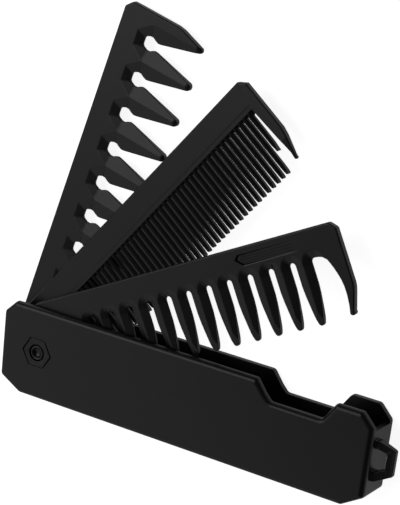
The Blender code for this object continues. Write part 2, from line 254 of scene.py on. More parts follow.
# A plate with a cut front and back. openEdge says which of its sides get no wall.
def plateMesh(name, outline, front, back, holes=(), openEdge=None):
    corners = [Vector(p) for p in outline]
    edges = [(i, (i + 1) % len(outline)) for i in range(len(outline))]
    for hole in holes:
        first = len(corners)
        corners += [Vector(p) for p in hole]
        edges += [(first + i, first + (i + 1) % len(hole)) for i in range(len(hole))]
    xs, ys = [p[0] for p in outline], [p[1] for p in outline]
    box = ((min(xs), min(ys)), (max(xs), max(ys)))
    for low, high in creases(front, box) + ([] if back is front else creases(back, box)):
        corners += [low, high]
        edges.append((len(corners) - 2, len(corners) - 1))
    points, _, triangles, *_ = delaunay_2d_cdt(corners, edges, [], 1, weld)
    kept = []
    for triangle in triangles:
        x = sum(points[i].x for i in triangle) / 3
        y = sum(points[i].y for i in triangle) / 3
        if inside(x, y, outline) and not any(inside(x, y, hole) for hole in holes):
            kept.append(triangle)
    shape = bmesh.new()
    used = sorted({i for triangle in kept for i in triangle})
    tops = {i: shape.verts.new((points[i].x, points[i].y, surfaceHeight(front, *points[i]))) for i in used}
    bottoms = {i: shape.verts.new((points[i].x, points[i].y, -surfaceHeight(back, *points[i]))) for i in used}
    sides = {}
    for a, b, c in kept:
        shape.faces.new((tops[a], tops[b], tops[c]))
        shape.faces.new((bottoms[c], bottoms[b], bottoms[a]))
        for i, j in ((a, b), (b, c), (c, a)):
            key = (min(i, j), max(i, j))
            sides[key] = None if key in sides else (i, j)
    for side in sides.values():
        if side and not (openEdge and openEdge(points[side[0]], points[side[1]])):
            i, j = side
            shape.faces.new((tops[j], tops[i], bottoms[i], bottoms[j]))
    bmesh.ops.scale(shape, verts=shape.verts, vec=(mm, mm, mm))
    return asMesh(name, shape)


# Copies of one form in a row, welded to a body
def rowTree():
    tree = bpy.data.node_groups.new("rowOfForms", 'GeometryNodeTree')
    for name, kind in (("Geometry", 'NodeSocketGeometry'), ("Form", 'NodeSocketObject'),
                       ("First", 'NodeSocketVector'), ("Step", 'NodeSocketVector'),
                       ("Count", 'NodeSocketInt'), ("Weld", 'NodeSocketFloat'),
                       ("Finish", 'NodeSocketMaterial')):
        tree.interface.new_socket(name, in_out='INPUT', socket_type=kind)
    tree.interface.new_socket("Geometry", in_out='OUTPUT', socket_type='NodeSocketGeometry')
    given = addNode(tree, "NodeGroupInput").outputs
    form = addNode(tree, "GeometryNodeObjectInfo", links={"Object": given["Form"]})
    line = addNode(tree, "GeometryNodeMeshLine", mode='OFFSET',
                   links={"Count": given["Count"], "Start Location": given["First"], "Offset": given["Step"]})
    row = addNode(tree, "GeometryNodeInstanceOnPoints",
                  links={"Points": line.outputs["Mesh"], "Instance": form.outputs["Geometry"]})
    real = addNode(tree, "GeometryNodeRealizeInstances", links={"Geometry": row.outputs["Instances"]})
    joined = addNode(tree, "GeometryNodeJoinGeometry")
    tree.links.new(real.outputs["Geometry"], joined.inputs["Geometry"])
    tree.links.new(given["Geometry"], joined.inputs["Geometry"])
    welded = addNode(tree, "GeometryNodeMergeByDistance",
                     links={"Geometry": joined.outputs["Geometry"], "Distance": given["Weld"]})
    finished = addNode(tree, "GeometryNodeSetMaterial",
                       links={"Geometry": welded.outputs["Geometry"], "Material": given["Finish"]})
    addNode(tree, "NodeGroupOutput", links={"Geometry": finished.outputs["Geometry"]})
    return tree


formRow = rowTree()


def evaluated(obj):
    bpy.context.view_layer.update()
    return bpy.data.meshes.new_from_object(obj.evaluated_get(bpy.context.evaluated_depsgraph_get()))


# first and step are distances along X and Y
def repeated(name, body, form, first, step, count):
    formObject = newObject(name + "Form", form)
    bodyObject = newObject(name + "Body", body)
    row = bodyObject.modifiers.new("row", 'NODES')
    row.node_group = formRow
    given = {"Form": formObject, "First": (first[0] * mm, first[1] * mm, 0),
             "Step": (step[0] * mm, step[1] * mm, 0), "Count": count, "Weld": weld * mm, "Finish": absCase}
    for item in formRow.interface.items_tree:
        if item.in_out == 'INPUT' and item.name in given:
            row[item.identifier] = given[item.name]
    mesh = evaluated(bodyObject)
    bpy.data.objects.remove(bodyObject)
    bpy.data.objects.remove(formObject)
    return mesh


edgeFinish = {
    "spine": 0.5,  # round-over along the spine, the end and the last tooth's outer side
    "segments": 3,
    "tipShare": 0.55,  # at the last tooth's tip, as a share of that tip's radius
    "flatAngle": 4,  # an edge that turns by fewer degrees than this stays as it is
    "sameFace": 0.6,
    "curveAngle": 30,  # strips of a rounded wall turn by less than this
    "wallAngle": 45,  # a face meets a side wall
    "spineAngle": 50,
    "spineBand": 0.2,  # how near an edge lies to the spine to be on it
    "endBand": 4.2,  # and to the corner at the end, along X and Y together
    "sideBand": 1.0,
    "tipBand": 0.05,
    "outward": 0.8,
    "sameLine": 0.01,
}


# Rounds each edge by the width that widthOf gives it, and shades the flat faces flat
def softened(mesh, widthOf, onCurve, finishes, widest, segments):
    shape = bmesh.new()
    shape.from_mesh(mesh)
    bmesh.ops.remove_doubles(shape, verts=shape.verts, dist=weld * mm)
    bmesh.ops.recalc_face_normals(shape, faces=shape.faces)
    bmesh.ops.dissolve_limit(shape, verts=shape.verts, edges=shape.edges, angle_limit=math.radians(0.3))
    bmesh.ops.triangulate(shape, faces=[f for f in shape.faces if len(f.verts) > 6])
    weights = shape.edges.layers.float.new("bevel_weight_edge")
    for edge in shape.edges:
        if len(edge.link_faces) == 2:
            edge[weights] = widthOf(edge) / widest
            edge.smooth = edge[weights] > 0 or onCurve(edge)
    shape.to_mesh(mesh)
    shape.free()
    mesh.materials.clear()
    for finish in finishes:
        mesh.materials.append(finish)
    mesh.shade_smooth()
    obj = newObject("softening", mesh)
    bevel = obj.modifiers.new("softEdges", 'BEVEL')
    bevel.width = widest * mm
    bevel.segments = segments
    bevel.limit_method = 'WEIGHT'
    bevel.loop_slide = False
    bevel.use_clamp_overlap = False
    # The faces that the rounding makes take the last finish, the lighter edge tone: partly a painted
    # highlight
    bevel.material = len(finishes) - 1
    bevel.face_strength_mode = 'FSTR_ALL'
    weighted = obj.modifiers.new("flatFaces", 'WEIGHTED_NORMAL')
    weighted.use_face_influence = True
    weighted.keep_sharp = True
    result = evaluated(obj)
    bpy.data.objects.remove(obj)
    return result


def isAcross(a, b):
    return abs(a.x - b.x) < edgeFinish["sameLine"]


def isUpright(a, b):
    return isAcross(a, b) and abs(a.y - b.y) < edgeFinish["sameLine"]


def onRecess(a, b):
    low, high = recess["point"][0] - recess["margin"], recess["upperRight"][0] + recess["margin"]
    bottom, top = recess["band"]
    return all(low < p.x < high and bottom < p.y < top and p.z > 0 for p in (a, b))


def bladeEdgeWidth(sizes):
    spine, corner = sizes["spine"], bladeShape["end"] + sizes["spine"]
    tipX, tipY = sizes["endTip"]

    def onSpine(a, b):
        return min(a.y, b.y) > spine - edgeFinish["spineBand"] \
            or min(a.x + a.y, b.x + b.y) > corner - edgeFinish["endBand"]

    # The long outer side of the last tooth, down to its tip
    def onOuterSide(edge, a, b):
        return min(a.x, b.x) > tipX - edgeFinish["sideBand"] and min(a.y, b.y) > tipY \
            and any(face.normal.x > edgeFinish["outward"] for face in edge.link_faces)

    def onEndTip(a, b):
        away = max(math.dist((v.x, v.y), (tipX, tipY)) for v in (a, b))
        return away < sizes["endTipRadius"] + edgeFinish["tipBand"]

    def widthOf(edge):
        a, b = (v.co / mm for v in edge.verts)
        angle = foldAngle(edge)
        if angle < edgeFinish["flatAngle"] or onRecess(a, b):
            return 0.0
        if isUpright(a, b):
            return 0.0 if angle < edgeFinish["curveAngle"] else sizes["edge"]
        if angle > edgeFinish["spineAngle"] and (onSpine(a, b) or onOuterSide(edge, a, b)):
            return edgeFinish["spine"]
        if angle > edgeFinish["wallAngle"]:
            return edgeFinish["tipShare"] * sizes["endTipRadius"] if onEndTip(a, b) else sizes["edge"]
        return sizes["ridge"] if isAcross(a, b) else sizes["crease"]
    return widthOf


# Neighbouring strips of a rounded side wall, or parts of one flat face
def onBladeCurve(edge):
    a, b = (v.co / mm for v in edge.verts)
    angle = foldAngle(edge)
    return angle < edgeFinish["sameFace"] or (isUpright(a, b) and angle < edgeFinish["curveAngle"])


def onGentleCurve(edge):
    return foldAngle(edge) < edgeFinish["curveAngle"]


# Turns a piece about the pivot, lifts it to its layer, and hands it to its body
def placed(name, mesh, body, node, turn=0.0, lift=0.0):
    spun = Matrix.Rotation(math.radians(turn), 4, 'Z')
    mesh.transform(Matrix.Translation((stack["pivotX"] * mm, 0, lift * mm)) @ spun)
    mesh.name = name
    obj = newObject(name, mesh)
    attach(obj, body)
    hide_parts(node)
    print(name, "made:", len(mesh.polygons), "faces")


def bladeLift(layer):
    return stack["plate"] + stack["play"] + layer * (stack["bladeThickness"] + stack["play"]) \
        + stack["bladeThickness"] / 2


bladeShape = {
    "end": 114.2,
    "tangRadius": 12.9,
    "tangMeets": 0.12,  # cosine of the angle at which the tang's round meets the spine
    "shoulder": 4.0,
    "heelX": 5.0,  # where the lower edge meets the tang's round
    "seamY": 8.9,  # the teeth below this line are one form, repeated
}
halfThick = stack["bladeThickness"] / 2
flatFace = [(halfThick, 0.0, 0.0)]


# A blade's outline from the spine round its end, along its teeth and back round the tang
def bladeBody(sizes, endEdge, rightOfSeam, seam, leftOfSeam):
    tangEnd = math.degrees(math.acos(bladeShape["tangMeets"]))
    tang = arc((0, 0), bladeShape["tangRadius"], 270, tangEnd, 30)
    spine, end, cut, soft = sizes["spine"], bladeShape["end"], sizes["endCorner"], sizes["cornerSoftness"]
    corner = rounded([(end - cut - 2 * lead, spine), (end - cut, spine), (end, spine - cut),
                      (end, spine - cut - 2 * lead)], [0, soft, soft, 0], 4)[1:-1]
    return [(bladeShape["shoulder"], spine)] + corner + endEdge + rightOfSeam + seam + leftOfSeam + tang


def pinHole():
    return circle(stack["pinHole"], 48)


def moved(planes, x):
    return [(a - b * x, b, c) for a, b, c in planes]


def mirroredPlanes(planes):
    return [(a, -b, c) for a, b, c in planes]


# A plane across X that passes through two heights
def slope(y0, height0, y1, height1):
    return plane((0, y0, height0), (1, y0, height0), (0, y1, height1))


# The same, across Y
def sideSlope(x0, height0, x1, height1):
    return plane((x0, 0, height0), (x0, 1, height0), (x1, 0, height1))


# Edges on a seam between repeated forms have no side wall
def seamCheck(sides, gapTop):
    seamY, near = bladeShape["seamY"], weld / 2

    def isOpen(a, b):
        if abs(a.y - seamY) < near and abs(b.y - seamY) < near:
            return True
        return any(abs(a.x - x) < near and abs(b.x - x) < near and min(a.y, b.y) > gapTop - near
                   for x in sides)
    return isOpen


# The round tip of a tooth at x = 0, met by sides that come from (halfWidth, fromY) and its mirror image
def toothTip(tip, radius, halfWidth, fromY, steps=8):
    middle = tip + radius
    away = math.hypot(halfWidth, fromY - middle)
    angle = math.degrees(math.atan2(fromY - middle, halfWidth) - math.acos(radius / away))
    return arc((0, middle), radius, 180 - angle, 360 + angle, steps)


def shifted(points, x):
    return [(px + x, py) for px, py in points]


def flipped(points):
    return [(-x, y) for x, y in reversed(points)]


# One tooth from gap middle to gap middle. side runs from the gap's top middle down the tooth's left side,
# in distances from the gap's middle.
def toothForm(name, pitch, side, tip, groups):
    half = pitch / 2
    seamY = bladeShape["seamY"]
    left = shifted(side, -half)
    outline = [(-half, seamY)] + left + tip + flipped(left) + [(half, seamY)]
    return plateMesh(name, outline, groups, groups, openEdge=seamCheck([-half, half], side[0][1]))


rake = {
    "turn": 74.57,
    "layer": 0,
    "pitch": 11.72,
    "lastGap": 105.0,
    "gaps": 8,
    "tip": -14.9,
    "tipRadius": 1.2,
    "keyhole": [(0, 4.75), (1.1, 4.75), (1.65, 4.4), (2.2, 3.1), (2.2, 2.1), (1.58, 1.1), (1.18, 0.1),
                (1.3, -0.9)],
    "keyholeSoftness": 0.16,
    "hipTop": 7.5,
    "hipHalf": 2.5,
    "hipFoot": 4.4,
    "hipInner": 0.4,
    "ridgeStart": 2.8,
    "sideHalf": 0.27,  # half thickness left at the side of a tooth
    "tipHalf": 0.7,
    "tipTaper": -13.3,  # where the tooth starts to thin towards its tip
    "endTaper": -12.7,  # the same for the last one
    "heel": (1.0, 0.2),  # lower corner near the tang: in from a tooth's middle, and above the tips
    "heelSoftness": 1.0,
    "edge": 0.17,  # round-over where a face meets a side wall
    "ridge": 0.3,  # along the middle of a tooth
    "crease": 0.26,  # and between two other facets of a face
    "spine": 14.2,
    "endCorner": 2.2,
    "cornerSoftness": 1.1,
    "endEdge": [(114.2, -4.5), (113.85, -6.6)],
    "endTip": (110.75, -13.6),
    "endTipRadius": 0.95,
}


def makeRake():
    pitch, last, tip = rake["pitch"], rake["lastGap"], rake["tip"]
    half = pitch / 2
    first = last - pitch * (rake["gaps"] - 1)
    hip, foot = rake["hipTop"], rake["hipFoot"]
    side = rounded(rake["keyhole"], [0] + [rake["keyholeSoftness"]] * 6 + [0], 2)
    neck, neckY = side[-1]
    drop = halfThick - rake["sideHalf"]
    fullDrop = drop * half / (half - neck)
    groove = [slope(hip, halfThick, foot, halfThick - drop)]
    sides = [plane((rake["hipHalf"], hip, halfThick), (half, rake["ridgeStart"], halfThick),
                   (rake["hipInner"], foot, halfThick - drop)),
             sideSlope(half, halfThick, 0, halfThick - fullDrop)]
    groove += sides + mirroredPlanes(sides)
    taper = slope(rake["tipTaper"], halfThick, tip, rake["tipHalf"])
    tipArc = toothTip(tip, rake["tipRadius"], half - neck, neckY)
    form = toothForm("rakeTooth", pitch, side, tipArc,
                     [flatFace, [taper], moved(groove, half), moved(groove, -half)])

    endEdge = rake["endEdge"] + arc(rake["endTip"], rake["endTipRadius"], 15, -165, 8)
    right = shifted(side[::-1], last)
    left = shifted([(-x, y) for x, y in side], first)
    heelIn, heelUp = rake["heel"]
    left += rounded([left[-1], (first - half + heelIn, tip + heelUp), (bladeShape["heelX"], tip + heelUp)],
                    [0, rake["heelSoftness"], 0])[1:]
    seam = [(last - pitch * i, bladeShape["seamY"]) for i in range(rake["gaps"])]
    outline = bladeBody(rake, endEdge, right, seam, left)
    endTaper = slope(rake["endTaper"], halfThick, tip, rake["tipHalf"])
    groups = [flatFace, [endTaper], moved(groove, last), moved(groove, first)]
    body = plateMesh("rakeBody", outline, groups, groups, [pinHole()], seamCheck([first, last], side[0][1]))
    return repeated("rake", body, form, (first + half, 0), (pitch, 0), rake["gaps"] - 1)


wide = {
    "turn": 27.55,
    "layer": 2,
    "pitch": 7.405,
    "lastGap": 96.62,
    "gaps": 11,
    "gapTop": 6.3,
    "gapHalf": 0.98,
    "toothSide": [(2.72, -1.0), (2.64, -2.0), (2.44, -4.0), (2.13, -6.0), (1.82, -8.0), (1.45, -10.0)],
    "tip": -12.95,
    "tipRadius": 0.95,
    "grooveEdge": [(1.3, 8.4), (2.4, 7.8), (3.2, 6.6), (3.7, 4.6)],
    "grooveFoot": (0.25, 5.0),
    "grooveDepth": 1.05,
    "tipHalf": 0.55,
    "tipTaper": -8.0,
    "edge": 0.17,
    "ridge": 0.45,
    "crease": 0.26,
    "spine": 14.8,
    "endCorner": 2.0,
    "cornerSoftness": 1.2,
    "endTip": (111.1, -11.3),
    "endTipRadius": 0.84,
    "hookOuter": [(114.3, -3.2), (114.15, -4.4), (113.75, -5.8)],
    "hookInner": [(110.86, -9.2), (111.18, -6.0), (111.14, -3.6), (110.86, -1.6), (110.32, 0.3),
                  (109.76, 1.9), (109.1, 3.5)],
    "bay": [(108.45, 4.85), (107.2, 5.85), (105.6, 6.15)],  # the open bay behind the hook
    "baySoftness": [0, 1.2, 1.2, 1.0, 1.2, 0],
    "hookFlat": (108.1, 107.6),  # the hook's face stays flat to here, and the bay's groove starts here
}


def makeWide():
    pitch, last, tip = wide["pitch"], wide["lastGap"], wide["tip"]
    half = pitch / 2
    first = last - pitch * (wide["gaps"] - 1)
    gapHalf, top = wide["gapHalf"], wide["gapTop"]
    side = arc((0, top - gapHalf), gapHalf, 90, 0, 6)
    side += [(half - x, y) for x, y in wide["toothSide"]]
    deep = halfThick - wide["grooveDepth"]
    footX, footY = wide["grooveFoot"]
    edge = wide["grooveEdge"]
    groove = [slope(edge[0][1], halfThick, footY, deep)]
    sides = [plane((*a, halfThick), (*b, halfThick), (footX, footY, deep)) for a, b in zip(edge, edge[1:])]
    sides.append(sideSlope(half, halfThick, footX, deep))
    groove += sides + mirroredPlanes(sides)
    taper = slope(wide["tipTaper"], halfThick, tip, wide["tipHalf"])
    tipArc = toothTip(tip, wide["tipRadius"], *wide["toothSide"][-1])
    form = toothForm("wideTooth", pitch, side, tipArc,
                     [flatFace, [taper], moved(groove, half), moved(groove, -half)])

    lastTooth = last + half
    bay = last + pitch
    hookOuter = wide["hookOuter"] + arc(wide["endTip"], wide["endTipRadius"], 20, -160, 8)
    hookInner = wide["hookInner"]
    bayTop = rounded([hookInner[-1]] + wide["bay"] + [(bay - gapHalf, top), (bay - gapHalf, 0)],
                     wide["baySoftness"], 4)[1:-1]
    toothLeft = shifted(side, -half)
    right = hookInner + bayTop + shifted(wide["toothSide"], lastTooth)
    right += shifted(tipArc[::-1], lastTooth)
    right += shifted(toothLeft[::-1], lastTooth)
    left = shifted([(-x, y) for x, y in side], first)
    left += shifted(tipArc[::-1], first - half)[:len(tipArc) // 2 + 1]
    left += [(bladeShape["heelX"], tip)]
    seam = [(last - pitch * i, bladeShape["seamY"]) for i in range(wide["gaps"])]
    outline = bladeBody(wide, hookOuter, right, seam, left)
    flatTo, grooveFrom = wide["hookFlat"]
    hookFlat = sideSlope(flatTo, halfThick, grooveFrom, deep)
    groups = [flatFace, [taper, hookFlat], moved(groove, last), moved(groove, first), moved(groove, bay)]
    front = groups + [thumbRecess(), thumbRecess(recess["lip"])]
    body = plateMesh("wideBody", outline, front, groups, [pinHole()], seamCheck([first, last], top))
    blade = repeated("wide", body, form, (first + half, 0), (pitch, 0), wide["gaps"] - 1)
    ribSpan = recess["ribPitch"] * (recess["ribs"] - 1)
    ribY = (recess["upperRight"][1] + recess["lowerRight"][1] - ribSpan) / 2
    return repeated("recess", blade, ribForm(), (0, ribY), (0, recess["ribPitch"]), recess["ribs"])


recess = {
    "point": (78.9, 11.3),
    "upperLeft": (80.3, 12.75),
    "lowerLeft": (81.4, 9.25),
    "upperRight": (100.6, 12.6),
    "lowerRight": (100.6, 9.4),
    "wall": 0.5,  # how far the walls lean in
    "depth": 0.68,
    "lip": (0.2, 0.07),  # width and drop of the lower side's worn edge
    "margin": 0.3,  # no edge is rounded in this box round it
    "band": (8.98, 13.0),
    "ribs": 3,
    "ribPitch": 0.78,
    "ribWidth": 0.42,
    "ribTop": 0.45,  # the top's share of that width
    "ribHeight": 0.2,
    "ribEnds": (0.6, 0.4),  # starts before the lower left corner, stops before the right
    "ribSunk": (0.3, 0.02),  # how deep its foot and its side's lower edge lie in the floor
}


# The recess for a thumbnail: a pointed left end, and a floor that rises to the face at the right.
# With a lip, the same hollow with a shallow lower side instead of its wall.
def thumbRecess(lip=None):
    depth = recess["depth"]
    loop = [recess[k] for k in ("upperRight", "upperLeft", "point", "lowerLeft", "lowerRight")]
    planes = []
    for a, b in zip(loop, loop[1:]):
        along = Vector(b) - Vector(a)
        inward = Vector((-along.y, along.x)).normalized() * recess["wall"]
        down = (*(Vector(a) + inward), halfThick - depth)
        if lip and b == recess["lowerRight"]:
            a, b = (a[0], a[1] - lip[0]), (b[0], b[1] - lip[0])
            down = (a[0], a[1] + lip[0], halfThick - lip[1])
        planes.append(plane((*a, halfThick), (*b, halfThick), down))
    planes.append(sideSlope(recess["upperRight"][0], halfThick, recess["point"][0], halfThick - depth))
    return planes


# One low rib along the recess's floor, which runs out where the floor meets the face
def ribForm():
    before, short = recess["ribEnds"]
    left, right = recess["lowerLeft"][0] - before, recess["upperRight"][0] - short
    rise = recess["depth"] / (recess["upperRight"][0] - recess["point"][0])
    half, foot, side = recess["ribWidth"] / 2, *recess["ribSunk"]
    narrow = half * recess["ribTop"]
    points = []
    for x, height in ((left, recess["ribHeight"]), (right, 0.0)):
        floor = halfThick - (recess["upperRight"][0] - x) * rise
        points += [(x, -half, floor - foot), (x, half, floor - foot), (x, half, floor - side),
                   (x, narrow, floor + height), (x, -narrow, floor + height), (x, -half, floor - side)]
    faces = [tuple(range(6)), tuple(range(11, 5, -1))]
    faces += [(i, i + 6, (i + 1) % 6 + 6, (i + 1) % 6) for i in range(6)]
    mesh = bpy.data.meshes.new("recessRib")
    mesh.from_pydata([tuple(c * mm for c in p) for p in points], [], faces)
    return mesh


fine = {
    "turn": 52.10,
    "layer": 1,
    "pitch": 2.146,
    "lastTooth": 106.34,
    "teeth": 40,
    "root": 5.1,
    "gapHalf": 0.3,
    "rootSoftness": 0.2,
    "toothSide": [(0.77, -5.0), (0.718, -9.0), (0.657, -12.0), (0.56, -13.6)],
    "tip": -14.8,
    "tipRadius": 0.34,
    "step": (7.25, 6.95),
    "stepDepth": 0.03,
    "shoulder": (5.75, 0.38),  # where the face starts to fall into a gap, and the half thickness at its root
    "ridgeDrop": 0.57,  # from the middle of a tooth to its side
    "bodyTaper": 0.0005,  # thinning towards the tips, each mm
    "tipTaper": -13.2,
    "tipHalf": 0.8,
    "shortHalf": 0.78,
    "shortTip": -8.1,
    "shortWaist": (0.8, 2.6),  # share of its width left, and how far above its tip
    "shortNeck": (0.32, 0.9),  # half width where its tip's round starts, and how far above the tip
    "shortTipRadius": 0.25,
    "heel": (1.2, 2.2),  # lower corner near the tang: its size along X and Y
    "heelSoftness": 0.8,
    "stepStart": (1.3, 0.9),  # the step starts this far before the first gap's middle
    "stepEnd": (110.6, 109.8),
    "endTaper": (-7.0, 0.5),  # where the end piece starts to thin, and the half thickness at the tips
    "endFlat": (110.5, 109.3, -3.0),  # flat to the first X, and this height at the second
    "endEdge": [(114.2, -4.0), (113.75, -6.3)],
    "endTip": (111.5, -13.0),
    "endTipRadius": 0.46,
    "endSide": [(111.42, -11.0), (111.36, -8.6), (111.1, -5.0), (110.8, 0.0)],
    "endRoot": (110.55, 0.7),  # the last gap's corner, and how far below the others it starts
    "edge": 0.06,
    "ridge": 0.2,
    "crease": 0.1,
    "spine": 14.4,
    "endCorner": 2.1,
    "cornerSoftness": 0.35,
}


def makeFine():
    pitch, tip, gapHalf, root = fine["pitch"], fine["tip"], fine["gapHalf"], fine["root"]
    half = pitch / 2
    last = fine["lastTooth"] + half
    first = last - pitch * fine["teeth"]
    stepTop, stepFoot = fine["step"]
    floor = halfThick - fine["stepDepth"]
    soft = fine["rootSoftness"]
    corner = rounded([(0, root), (gapHalf, root), (gapHalf, root - lead)], [0, soft, 0], 3)[:-1]
    side = corner + [(half - x, y) for x, y in fine["toothSide"]]
    stepPlane = slope(stepTop, halfThick, stepFoot, floor)
    taper = (floor - fine["bodyTaper"] * stepFoot, 0.0, fine["bodyTaper"])
    tipPlane = slope(fine["tipTaper"], heightOf(taper, 0, fine["tipTaper"]), tip, fine["tipHalf"])
    fall = fine["ridgeDrop"] / (half - gapHalf)
    facet = (taper[0] - fall * half, fall, taper[2])
    shoulder, low = fine["shoulder"]
    groove = [slope(shoulder, floor, root, low), facet] + mirroredPlanes([facet])
    tipArc = toothTip(tip, fine["tipRadius"], *fine["toothSide"][-1], 5)
    form = toothForm("fineTooth", pitch, side, tipArc,
                     [flatFace, [stepPlane, taper], [tipPlane], moved(groove, half), moved(groove, -half)])

    short = last + half
    endEdge = fine["endEdge"] + arc(fine["endTip"], fine["endTipRadius"], 15, -170, 5)
    shortHalf, shortTip = fine["shortHalf"], fine["shortTip"]
    endRoot, endDrop = fine["endRoot"]
    lastSide = short + shortHalf
    right = fine["endSide"] + rounded(
        [fine["endSide"][-1], (endRoot, root - endDrop), (lastSide, root - endDrop), (lastSide, 0)],
        [0, soft * 2, soft * 2, 0], 3)[1:-1]
    waistShare, waistUp = fine["shortWaist"]
    neckHalf, neckUp = fine["shortNeck"]
    shortSide = [(shortHalf, root - lead), (shortHalf * waistShare, shortTip + waistUp),
                 (neckHalf, shortTip + neckUp)]
    shortTipArc = toothTip(shortTip, fine["shortTipRadius"], neckHalf, shortTip + neckUp, 5)
    right += shifted(shortSide + shortTipArc[::-1] + flipped(shortSide), short)
    right += shifted(corner[::-1], last)
    left = shifted([(-x, y) for x, y in corner], first)
    edge = first - gapHalf
    heelIn, heelUp = fine["heel"]
    heel = [(edge, root - lead), (edge, tip + heelUp), (edge - heelIn, tip), (bladeShape["heelX"], tip)]
    left += rounded(heel, [0, fine["heelSoftness"], fine["heelSoftness"], 0], 3)[1:]
    seam = [(last - pitch * i, bladeShape["seamY"]) for i in range(fine["teeth"] + 1)]
    outline = bladeBody(fine, endEdge, right, seam, left)
    beforeStart, afterStart = fine["stepStart"]
    stepEnd, stepFlat = fine["stepEnd"]
    limits = [sideSlope(first - beforeStart, halfThick, first - afterStart, floor),
              sideSlope(stepEnd, halfThick, stepFlat, floor)]
    taperTop, tipThin = fine["endTaper"]
    flatTo, lowX, lowZ = fine["endFlat"]
    shortGroove = moved(groove, short + half)
    groups = [flatFace, [stepPlane, taper] + limits, [tipPlane] + limits,
              [slope(taperTop, halfThick, tip, tipThin)], moved(groove, last), moved(groove, first),
              shortGroove[:1] + shortGroove[2:] + [sideSlope(flatTo, halfThick, lowX, lowZ)]]
    body = plateMesh("fineBody", outline, groups, groups, [pinHole()], seamCheck([first, last], root))
    return repeated("fine", body, form, (first + half, 0), (pitch, 0), fine["teeth"])


def makeBlade(name, sizes, mesh, body, node):
    mesh = softened(mesh, bladeEdgeWidth(sizes), onBladeCurve, [absCase, absEdge], edgeFinish["spine"],
                    edgeFinish["segments"])
    placed(name, mesh, body, node, sizes["turn"], bladeLift(sizes["layer"]))


makeBlade("combRake", rake, makeRake(), "rake_blade", "comb_rake")
makeBlade("combWide", wide, makeWide(), "wide_blade", "comb_wide")
makeBlade("combFine", fine, makeFine(), "fine_blade", "comb_fine")


case = {
    "length": 130.35,
    "inset": 13.65,  # pivot to the near end
    "top": 14.5,
    "bottom": -15.25,
    "topCorner": 4.1,
    "bottomLeft": (7.5, 4.2),
    "bottomRight": (6.8, 4.3),
    "cornerSoftness": 1.6,
    "notch": [(103.6, 14.5), (99.6, 8.5), (82.8, 8.5), (80.8, 10.5), (77.7, 14.5)],
    "notchSoftness": 1.6,
    "fillet": 1.45,  # round-over of the front plate's outer edge
    "rearFillet": 0.55,
    "endFillet": 1.6,  # where the front plate turns into the end wall
    "filletSegments": 4,
    "endLean": (0.55, 0.55),  # the end leans in towards its front and towards its foot
    "endFrom": 105.0,
    "endWall": 115.0,
    "endWallTop": 9.5,
    "cutBeyond": 3.0,  # how far a cutting form stands out past the case
    "sharpEdge": 0.12,
    "lugSeamEdge": 0.1,  # where the lug meets the end wall
    "seamBand": (0.1, 0.2),
    "edgeAngle": 30,  # a flatter edge stays as it is
    "shortestEdge": 0.05,
}
lug = {
    "reach": 6.0,
    "bar": 2.5,
    "lowerBar": 3.1,
    "thickness": 1.7,
    "depth": 4.8,  # front face to the lug's middle
    "root": 6.3,
    "tipTop": 4.4,
    "tipBottom": -3.5,
    "straight": 0.4,  # its sides run straight for this share of the bar
    "slant": 0.55,  # share of the bar that the tip's slanted corners take
    "slope": 1.2,  # how far its front rises from the tip to the end wall
    "slopeEnds": (0.1, 1.0),  # height left at the wall, and how far before the tip it's level
    "cut": (1.0, 10.0),  # the cutting form's margin and half width
    "softness": 0.7,
    "edge": 0.28,
}


# An outline drawn out from one height to another
def prism(name, outline, low, high):
    shape = bmesh.new()
    corners = [shape.verts.new((x, y, low)) for x, y in outline]
    base = shape.faces.new(corners)
    grown = bmesh.ops.extrude_face_region(shape, geom=[base])
    tops = [g for g in grown["geom"] if isinstance(g, bmesh.types.BMVert)]
    bmesh.ops.translate(shape, verts=tops, vec=(0, 0, high - low))
    bmesh.ops.recalc_face_normals(shape, faces=shape.faces)
    bmesh.ops.scale(shape, verts=shape.verts, vec=(mm, mm, mm))
    return asMesh(name, shape)


def caseOutline():
    left = -case["inset"]
    right = case["length"] - case["inset"]
    leftX, leftY = case["bottomLeft"]
    rightX, rightY = case["bottomRight"]
    top, bottom, cut = case["top"], case["bottom"], case["topCorner"]
    points = [(left, bottom + leftY), (left + leftX, bottom), (right - rightX, bottom),
              (right, bottom + rightY), (right, top - cut), (right - cut, top)]
    points += case["notch"] + [(left + cut, top), (left, top - cut)]
    soft = [case["cornerSoftness"]] * 6 + [case["notchSoftness"]] * 5 + [case["cornerSoftness"]] * 2
    return rounded(points, soft, 5)


# Cuts or joins other forms, one after another
def combined(mesh, steps):
    base = newObject("combining", mesh)
    tools = []
    for tool, operation in steps:
        obj = newObject("tool", tool)
        tools.append(obj)
        boolean = base.modifiers.new(operation, 'BOOLEAN')
        boolean.operation = operation
        boolean.solver = 'EXACT'
        boolean.object = obj
    result = evaluated(base)
    for obj in tools + [base]:
        bpy.data.objects.remove(obj)
    return result


quarterTurn = Matrix.Rotation(math.radians(90), 4, 'X')  # stands a form drawn from the side upright


